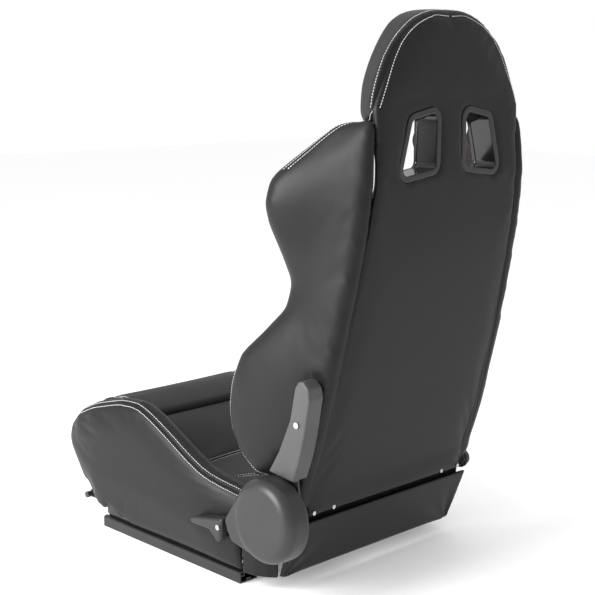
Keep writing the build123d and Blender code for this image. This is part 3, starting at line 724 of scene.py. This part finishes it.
def outermost(rows):
    """The rows of (half width, rear face, height) on the outside of a convex outline."""
    kept = []
    for row in rows:
        while len(kept) > 1:
            a, b = kept[-2], kept[-1]
            if (b[X] - a[X]) * (row[Z] - a[Z]) > (row[X] - a[X]) * (b[Z] - a[Z]):
                break
            kept.pop()
        kept.append(row)
    return np.array(kept)


panel_rows = cross_sections("rear_panel", Z, least=4)
panel_edge = outermost([[row[:, X].max(), row[:, Y].max(), row[0, Z]] for row in panel_rows])
wing_rows = cross_sections("back_wing_left", Z)
wing_nose = np.array([row[row[:, Y].argmin()] for row in wing_rows])
wing_nose = np.array([p for p in wing_nose if p[Y] < 400 * MM])
bolster_rows = cross_sections("base_bolster_left", Y)
bolster_half = np.array([row[:, X].max() for row in bolster_rows])
bolster_crest = np.array([row[:, Z].max() for row in bolster_rows])
bolster_y = np.array([row[0, Y] for row in bolster_rows])
bolster_crown = np.stack([bolster_half, bolster_y, bolster_crest], 1)

HEAD_TAPER = 0.24          # how much narrower the head is at its front
HARNESS_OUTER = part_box("harness_bezel_rear_left")[1].x
HARNESS_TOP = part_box("harness_bezel_rear_left")[1].z
TUNNEL_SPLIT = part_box("harness_bezel_front_left")[1].y
SEAM_IN = 18 * MM          # below the shoulders the panel's seam lies this far in from the corner
NECK_Z = 770 * MM          # the shoulders end and the head begins
CROWN_DROP = 7 * MM        # the top of the head is flatter than its foam
CROWN_REACH = 75 * MM      # and this is how far down that goes
SHOULDER_Z = 700 * MM      # above this the wing's stitches run over the shoulder
NOSE_OUT = 8 * MM          # the wing's front edge, forward of its foam
CORNER_OUT = 4 * MM        # the wings' rear corners bulge out
CORNER_BACK = 8.5 * MM     # and back, up to the panel's skin
NOT_STITCHED = 2           # the bolster's first sections, round its nose

# The panel's corner as it is in CAD, and then the line of its seam.
panel_full = panel_edge.copy()
panel_edge[:, X] -= SEAM_IN * np.clip((NECK_Z + 10 * MM - panel_edge[:, Z]) / (50 * MM), 0, 1)


def panel_at(z, edge=panel_full):
    """The back panel's half width and rear face at a height."""
    return np.interp(z, edge[:, Z], edge[:, X]), np.interp(z, edge[:, Z], edge[:, Y])


def crowned(points):
    """The top of the head, flattened."""
    top = panel_full[-1, Z]
    points[:, Z] -= CROWN_DROP * fade(top - points[:, Z], 5 * MM, CROWN_REACH)
    return points


def panel_shape(points):
    """The skin wraps a little further forward than its foam, over the edge of the wings."""
    width, rear = panel_at(points[:, Z])
    seam = panel_at(points[:, Z], panel_edge)[0]
    front = points[:, Y] < rear - 8 * MM
    points[front, Y] -= 3.5 * MM
    edge = np.abs(points[:, X]) > width - 2 * MM
    points[edge, X] += np.sign(points[edge, X]) * (2.2 * MM - (width - seam)[edge])
    return crowned(points)


def panel_hold(points):
    """The front of the skin stays on its foam."""
    _, rear = panel_at(points[:, Z])
    return 0.35 * fade(rear - points[:, Y], 13 * MM, 8 * MM)


def head_shape(points):
    """The head pad's back runs up to the skin behind it, and its sides draw in towards the front."""
    low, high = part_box("head_pad")
    back = points[:, Y] > high.y - 1 * MM
    forward = np.clip((high.y - points[:, Y]) / (high.y - low.y), 0, 1)
    out = np.abs(points[:, X])
    fixed = HARNESS_OUTER * fade(points[:, Z], HARNESS_TOP, HARNESS_TOP + 40 * MM)
    drawn = np.maximum(out * (1.0 - HEAD_TAPER * forward), fixed + 0.15 * (out - fixed))
    points[:, X] = np.sign(points[:, X]) * np.where(out > fixed, drawn, out)
    points[:, Z] -= 12 * MM * forward * fade(high.z - points[:, Z], 60 * MM, 10 * MM)
    points[:, Z] -= 12 * MM * (out > HARNESS_OUTER) * fade(points[:, Z] - low.z, 10 * MM, 40 * MM)
    points[back, Y] += 7 * MM
    return crowned(points)


def head_dip(points):
    """The head is thin round the harness openings: its front dips in there."""
    bezels = np.vstack([points_of(nodes["harness_bezel_front_" + side]) for side in ("left", "right")])
    flat = np.array((1, 0, 1))
    near = fade(distances(points * flat, bezels * flat, 60 * MM), 6 * MM, 58 * MM)
    floor = TUNNEL_SPLIT - 2.5 * MM
    forward = points[:, Y] < floor
    points[forward, Y] += ((floor - points[:, Y]) * near)[forward]
    return points


def wing_shape(points):
    """The wing's front edge and rear corner are fuller than its foam, and its top slopes outwards."""
    nose = np.interp(points[:, Z], wing_nose[:, Z], wing_nose[:, Y])
    points[:, Y] -= NOSE_OUT * fade(points[:, Y] - nose, 10 * MM, 50 * MM)
    _, rear = panel_at(points[:, Z])
    outer = np.abs(points[:, X]) > 150 * MM
    behind = outer & (points[:, Y] > rear - 16 * MM)
    below = fade(points[:, Z], SHOULDER_Z - 10 * MM, SHOULDER_Z + 45 * MM)
    points[outer, X] += np.sign(points[outer, X]) * 3 * MM
    points[behind, X] += np.sign(points[behind, X]) * CORNER_OUT * below[behind]
    points[behind, Y] += CORNER_BACK
    along = np.clip((points[:, Y] - 345 * MM) / (85 * MM), 0, 1)
    points[:, Z] += (1 - below) * (16 * along - 6) * MM
    return points


def bolster_shape(points):
    """The base bolsters bulge out and forward a little, and the plain side's front stands higher."""
    outer = np.abs(points[:, X]) > 200 * MM
    points[outer, X] += np.sign(points[outer, X]) * 4 * MM
    points[:, Y] -= 4 * MM * fade(points[:, Y] - points[:, Y].min(), 10 * MM, 60 * MM)
    if points[0, X] < 0:
        points[:, Z] += 5 * MM * fade(points[:, Y], -190 * MM, -90 * MM) * (points[:, Z] > 140 * MM)
    return points


def thigh_shape(points):
    """The front roll stands a little proud of the cushion."""
    points[:, Z] += 6 * MM * (points[:, Z] > 150 * MM)
    return points


def skirt_shape(points):
    """The skirt's free end bulges out at the plain side's corner."""
    points[:, X] -= 9 * MM * fade(points[:, X] - points[:, X].min(), 10 * MM, 70 * MM)
    return points


panel = pad_blank("cover_rear_panel", "rear_panel", 10, 4 * MM, panel_shape, panel_hold, 0.8 * MM)
head = pad_blank("cover_head_pad", "head_pad", 16, 4 * MM, head_shape, swell=1.5 * MM, dip=head_dip)
wing = pad_blank("cover_back_wing_left", "back_wing_left", 26, 4 * MM, wing_shape, swell=2.8 * MM)
wing_right = pad_blank("cover_back_wing_right", "back_wing_right", 26, 4 * MM, wing_shape, swell=2.8 * MM)
bolster = pad_blank("cover_base_bolster_left", "base_bolster_left", 14, VOXEL, bolster_shape, swell=2.5 * MM)
bolster_right = pad_blank("cover_base_bolster_right", "base_bolster_right", 14, VOXEL, bolster_shape,
                          swell=2.5 * MM)
lumbar = pad_blank("cover_lumbar_pad", "lumbar_pad", 14, swell=1 * MM)
back = pad_blank("cover_back_pad", "back_pad", 14, swell=1 * MM)
cushion = pad_blank("cover_cushion", "cushion", 14, swell=1 * MM)
thigh = pad_blank("cover_thigh_pad", "thigh_pad", 14, VOXEL, thigh_shape, swell=1.5 * MM)
skirt = pad_blank("cover_rear_skirt", "rear_skirt", 8, 3.5 * MM, skirt_shape, swell=0.8 * MM)
corner = pad_blank("cover_skirt_corner_left", "skirt_corner_left", 5, 3 * MM, swell=0.8 * MM)
insert = pad_blank("cover_wing_insert_left", "wing_insert_left", 3, 1.6 * MM, swell=0.4 * MM)


def on_pad(path, pad):
    """A line brought to a pad's surface. It starts outside the pad."""
    return settled(path, [tree_of(pad)])[0]


# Seam lines: the wing's front edge, the top edge of the bolster, and the panel's edge.
wing_front = on_pad(curve(wing_nose + np.array((4, -12, 0)) * MM), wing)
bolster_top = on_pad(curve(bolster_crown + np.array((0, 0, 2)) * MM), bolster)
panel_side = curve([(w + 1 * MM, y - 14 * MM, z) for w, y, z in panel_edge])


def sewn_near(obj, paths, near, far):
    """Held along these lines."""
    points = points_of(obj)
    held = np.zeros(len(points))
    for path in paths:
        held = np.maximum(held, fade(distances(points, path, far), near, far))
    return held


def sewn_holes(obj):
    """Held round the harness openings."""
    bezels = np.vstack([points_of(nodes[n]) for n in nodes if n.startswith("harness_bezel")])
    return sewn_near(obj, [bezels], 6 * MM, 26 * MM)


def sewn_edges(obj, *axes):
    """Held along a pad's ends, across some axes."""
    points = points_of(obj)
    ends = np.minimum(points - points.min(0), points.max(0) - points)[:, axes]
    return fade(ends.min(1), 3 * MM, 14 * MM)


panel_rim = sewn_near(panel, [panel_side, across(panel_side)], 7 * MM, 16 * MM)
stuff(panel, np.maximum(sewn_holes(panel), panel_rim), 2.0, 3 * MM)
head_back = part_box("head_pad")[1].y - points_of(head)[:, Y]
stuff(head, np.maximum(sewn_holes(head), fade(head_back, 4 * MM, 14 * MM)), 2.5, 5 * MM)
for pad, turn in ((wing, np.asarray), (wing_right, across)):
    held = sewn_near(pad, [turn(wing_front), turn(panel_side)], 4 * MM, 12 * MM)
    if pad is wing:
        held = np.maximum(held, sewn_near(pad, [points_of(nodes["arm_cover"])], 6 * MM, 18 * MM))
    stuff(pad, held, 2.5, 4 * MM)
for pad, turn in ((bolster, np.asarray), (bolster_right, across)):
    stuff(pad, sewn_near(pad, [turn(bolster_top)], 6 * MM, 14 * MM), 2.2, 4 * MM)
for pad in (lumbar, back):
    stuff(pad, sewn_edges(pad, X, Z), 3.0, 7 * MM)
for pad in (cushion, thigh):
    stuff(pad, sewn_edges(pad, X, Y), 3.0, 6 * MM)
inflate_pads()


# ---- pads: seams, dips and covers ---------------------------------------------------------------

for pad in (wing, wing_right):
    relax(pad, 10)
for pad in (panel, head, wing, wing_right, bolster, bolster_right, lumbar, back, cushion, thigh):
    modify(pad, "SUBSURF", levels=1, render_levels=1)

for bezel in ("harness_bezel_rear_left", "harness_bezel_rear_right"):
    tuck_under(panel, nodes[bezel], 3.4 * MM)
press_in(wing, nodes["arm_cover"], 4.5 * MM, 11 * MM, (-1, 0, 0))

neck_edge = panel_edge[panel_edge[:, Z] > NECK_Z - 40 * MM]
crown = np.array((0.0, panel_edge[-1, Y], panel_edge[-1, Z] - CROWN_DROP))
neck_edge[:, Z] -= CROWN_DROP * fade(panel_edge[-1, Z] - neck_edge[:, Z], 5 * MM, CROWN_REACH)


def round_head(out, forward, start, rise):
    """A line up the side of the head and over its top, beside the panel's edge."""
    side = [(w + out, y - forward, z) for w, y, z in neck_edge if z > start]
    return curve(np.vstack([side, crown + (0.0, -forward, rise)]))


inner_row = round_head(-4 * MM, 0.0, NECK_Z + 5 * MM, -1 * MM)
outer_row = round_head(9 * MM, 12 * MM, NECK_Z + 5 * MM, 9 * MM)
head_seam = round_head(2.5 * MM, 10 * MM, NECK_Z - 10 * MM, 2 * MM)
low_nose = wing_nose[wing_nose[:, Z] < SHOULDER_Z]
high_nose = wing_nose[wing_nose[:, Z] > SHOULDER_Z - 20 * MM][::-1]

bolster_row_a = curve(bolster_crown[NOT_STITCHED:] + np.array((5, 0, -4)) * MM)
bolster_row_b = curve(bolster_crown[NOT_STITCHED:] + np.array((-6, 0, 4)) * MM)
wing_row_a = curve(low_nose + np.array((9, -6, 0)) * MM)
wing_row_b = curve(low_nose + np.array((-7, -13, 0)) * MM)

CROSS_SEAM_Y = 12 * MM     # where the cushion's level part meets its rising front
WELT = 22 * MM             # the side seams, in from the cushion's edges


def over_cushion(x0, y0, x1, y1):
    """A straight line in plan, held over the cushion."""
    shares = np.linspace(0, 1, 13)
    return curve([(x0 + (x1 - x0) * t, y0 + (y1 - y0) * t, 230 * MM) for t in shares], 4 * MM)


def dropped(path, pads, up=(0, 0, 1), skip=6):
    """A line dropped on the outermost of some pads, against a direction."""
    trees = [tree_of(p) for p in pads]
    up = Vector(up).normalized()
    laid = []
    for p in path:
        hits = [tree.ray_cast(Vector(p) + up * 0.3, -up)[0] for tree in trees]
        hits = [h for h in hits if h is not None]
        if hits:
            laid.append(max(hits, key=lambda h: h.dot(up)))
    return curve(laid[::skip] + [laid[-1]])


def shoulder_row(start, back):
    """A row of stitches from the head's seam over the shoulder's top edge."""
    line = curve(np.vstack([start, high_nose + np.array((2, back, 0)) * MM]), 3 * MM)
    return dropped(line, [wing, head], (0.35, 0.55, 0.75), 4)


shoulder_rows = [shoulder_row(outer_row[0], 12), shoulder_row(inner_row[0], 21)]

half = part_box("cushion")[1].x
top_pads = [cushion, thigh]
cross_seam = dropped(over_cushion(-half + 4 * MM, CROSS_SEAM_Y, half - 4 * MM, CROSS_SEAM_Y), top_pads)
corner_seam = dropped(over_cushion(half - 6 * MM, 97 * MM, half - WELT - 26 * MM, 128 * MM), top_pads)
side_seam = dropped(over_cushion(half - WELT, -285 * MM, half - WELT, CROSS_SEAM_Y), top_pads)
for path in (side_seam, across(side_seam)):
    for pad in top_pads:
        groove(pad, path, 3.0 * MM, 3.0 * MM)
for path in (cross_seam, corner_seam, across(corner_seam)):
    groove(cushion, path, 2.6 * MM, 2.8 * MM)


def face_line(pad, x0, x1, z):
    """A level line over the front of a back pad."""
    tree = tree_of(pad)
    laid = [tree.ray_cast(Vector((x, -1.0, z)), Vector((0, 1, 0)))[0] for x in np.linspace(x0, x1, 41)]
    return curve([p for p in laid if p is not None])


channels = {}
for pad in (lumbar, back):
    low, high = (Vector(c) for c in (points_of(pad).min(0), points_of(pad).max(0)))
    rows = []
    for share in (0.3, 0.65):
        z = low.z + share * (high.z - low.z)
        rows.append(face_line(pad, low.x + 16 * MM, high.x - 16 * MM, z))
    for row in rows:
        groove(pad, row, 3.2 * MM, 3.4 * MM)
    channels[pad.name] = rows

for pad, turn in ((bolster, np.asarray), (bolster_right, across)):
    groove(pad, turn(bolster_top), 1.6 * MM, 2.4 * MM)
panel_seam = curve([e for e in panel_edge if e[Z] < NECK_Z + 10 * MM])
for turn in (np.asarray, across):
    groove(head, turn(head_seam), 2.0 * MM, 3.0 * MM)
    groove(panel, turn(panel_seam), 1.4 * MM, 2.4 * MM)
for pad, turn in ((wing, np.asarray), (wing_right, across)):
    groove(pad, turn(wing_front), 1.2 * MM, 2.2 * MM)
    groove(pad, turn(panel_side), 1.2 * MM, 2.2 * MM)
    groove(pad, turn(panel_seam), 1.4 * MM, 2.4 * MM)


def wrinkle(obj, origin, spread, pitch, depth):
    """Creases that fan out from a corner where the skin is drawn tight."""
    points = points_of(obj)
    away = points[:, (X, Z)] - np.array(origin)
    reach = np.linalg.norm(away, axis=1)
    angle = np.arctan2(away[:, 1], np.abs(away[:, 0]) + 1e-6)
    wave = np.sin(angle / pitch) * np.exp(-(reach / spread) ** 2) * np.clip(reach / (14 * MM), 0, 1)
    set_points(obj, points + normals_of(obj) * (depth * wave)[:, None])


skirt_low, skirt_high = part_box("rear_skirt")
modify(skirt, "SUBSURF", levels=1, render_levels=1)
for side in (-1, 1):
    wrinkle(skirt, (side * skirt_high.x, skirt_low.z), 60 * MM, 0.11, 1.6 * MM)
    wrinkle(panel, (side * 205 * MM, 137 * MM), 46 * MM, 0.13, 0.9 * MM)


def lay_on(obj, base, lift, sunk):
    """Lays a thin patch on a pad, its outer face just proud and its inner face below the surface."""
    tree = tree_of(base)
    points, facing = points_of(obj), normals_of(obj)
    for i, p in enumerate(points):
        spot, normal = tree.find_nearest(Vector(p))[:2]
        points[i] = spot + normal * (lift if normal.dot(Vector(facing[i])) > 0 else -sunk)
    set_points(obj, points)
    relax(obj, 3)


insert_right = mirrored(insert, "cover_wing_insert_right")
lay_on(insert, wing, 1.8 * MM, 2.0 * MM)
lay_on(insert_right, wing_right, 1.8 * MM, 2.0 * MM)

for obj, body, node, fill in (
        (panel, "backrest", "rear_panel", 0.5), (head, "backrest", "head_pad", 0.8),
        (wing, "backrest", "back_wing_left", 0.8), (wing_right, "backrest", "back_wing_right", 0.8),
        (lumbar, "backrest", "lumbar_pad", 0.7), (back, "backrest", "back_pad", 0.7),
        (bolster, "seat_base", "base_bolster_left", 0.8),
        (bolster_right, "seat_base", "base_bolster_right", 0.8),
        (cushion, "seat_base", "cushion", 0.7), (thigh, "seat_base", "thigh_pad", 0.8),
        (skirt, "seat_base", "rear_skirt", 0.4), (corner, "seat_base", "skirt_corner_left", 0.3)):
    cover_pad(obj, body, node, black_pvc)
for obj, node in ((insert, "wing_insert_left"), (insert_right, "wing_insert_right")):
    cover_pad(obj, "backrest", node, red_pvc)


def gusset():
    """A pleated strip behind the gap between the back's skin and the skirt, so it can open and close."""
    half = skirt_high.x - 3 * MM
    low_y = skirt_high.y - 15 * MM
    high_y = panel_at(0.16)[1] - 15 * MM
    columns, rows, thick = 120, 14, 2.0 * MM
    points, faces = [], []
    for layer in (0, 1):
        for r in range(rows + 1):
            t = r / rows
            for c in range(columns + 1):
                x = -half + 2 * half * c / columns
                pleat = 3.0 * MM * sin(pi * t) * (1 + 0.35 * sin(x * 95) + 0.2 * sin(x * 233 + 1.0))
                points.append((x, low_y + (high_y - low_y) * t - pleat - layer * thick,
                               110 * MM + 52 * MM * t))
    wide = columns + 1
    count = wide * (rows + 1)
    for r in range(rows):
        for c in range(columns):
            a = r * wide + c
            faces.append((a, a + 1, a + 1 + wide, a + wide))
            faces.append(tuple(count + k for k in (a, a + wide, a + 1 + wide, a + 1)))
    bottom = list(range(columns + 1))
    right = [r * wide + columns for r in range(1, rows + 1)]
    top = [rows * wide + c for c in range(columns - 1, -1, -1)]
    left = [r * wide for r in range(rows - 1, 0, -1)]
    border = bottom + right + top + left
    for a, b in zip(border, border[1:] + border[:1]):
        faces.append((b, a, a + count, b + count))
    obj = new_object("hinge_gusset", points, faces)
    smooth_shaded(obj)
    obj.data.materials.append(black_pvc)
    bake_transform(obj, "seat_base", "backrest", (0, low_y, 118 * MM), (0, high_y, 156 * MM))


gusset()

stitching("stitching_head_left", "backrest", [inner_row, outer_row], [panel, head])
stitching("stitching_head_right", "backrest", [across(inner_row), across(outer_row)], [panel, head])
for side, pad, turn in (("left", wing, np.asarray), ("right", wing_right, across)):
    rows = [wing_row_a, wing_row_b, *shoulder_rows]
    stitching("stitching_wing_" + side, "backrest", [turn(row) for row in rows], [pad, head])
for side, pad, turn in (("left", bolster, np.asarray), ("right", bolster_right, across)):
    stitching("stitching_bolster_" + side, "seat_base", [turn(bolster_row_a), turn(bolster_row_b)], [pad])
beside = np.array((0, 4.5, 0)) * MM
stitching("stitching_cushion", "seat_base",
          [cross_seam + beside, cross_seam - beside, corner_seam + beside, corner_seam - beside,
           across(corner_seam + beside), across(corner_seam - beside)], [cushion])
outside = np.array((4.5, 0, 0)) * MM
stitching("stitching_cushion_sides", "seat_base",
          [turn(side_seam + shift) for turn in (np.asarray, across) for shift in (outside, -outside)],
          [cushion, thigh])
above = np.array((0, 0, 4.5)) * MM
for pad in (lumbar, back):
    rows = [row + shift for row in channels[pad.name] for shift in (above, -above)]
    stitching("stitching_" + pad.name.replace("cover_", ""), "backrest", rows, [pad])


# ---- mouldings ----------------------------------------------------------------------------------

def stand_in(obj, name):
    """obj takes a CAD node's place, body and finish."""
    smooth_shaded(obj)
    obj.data.materials.clear()
    obj.data.materials.append(SLOT_MATERIALS[slot_of(name)])
    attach(obj, body_of(nodes[name])[0])
    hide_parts(name)


def softened(name, voxel, rounds, shape=None):
    """A moulding with its hard corners rounded off."""
    obj = copy_of(nodes[name], "moulded_" + name)
    modify(obj, "WELD", merge_threshold=0.01 * MM)
    if shape is not None:
        set_points(obj, shape(points_of(obj)))
    remesh(obj, voxel)
    relax(obj, rounds)
    stand_in(obj, name)


FRONT_DEPTH = 0.16         # how much of the front lining's depth is left


def shallow(points):
    """The front half of a harness lining, pushed back to where the head's front dips in."""
    points[:, Y] = TUNNEL_SPLIT - (TUNNEL_SPLIT - points[:, Y]) * FRONT_DEPTH
    return points


for side in ("left", "right"):
    softened("harness_bezel_rear_" + side, 0.9 * MM, 4)
    softened("harness_bezel_front_" + side, 0.9 * MM, 3, shallow)
softened("recliner_cover", 1.2 * MM, 9)
softened("arm_cover", 1.2 * MM, 9)
softened("lever_handle", 0.9 * MM, 6)
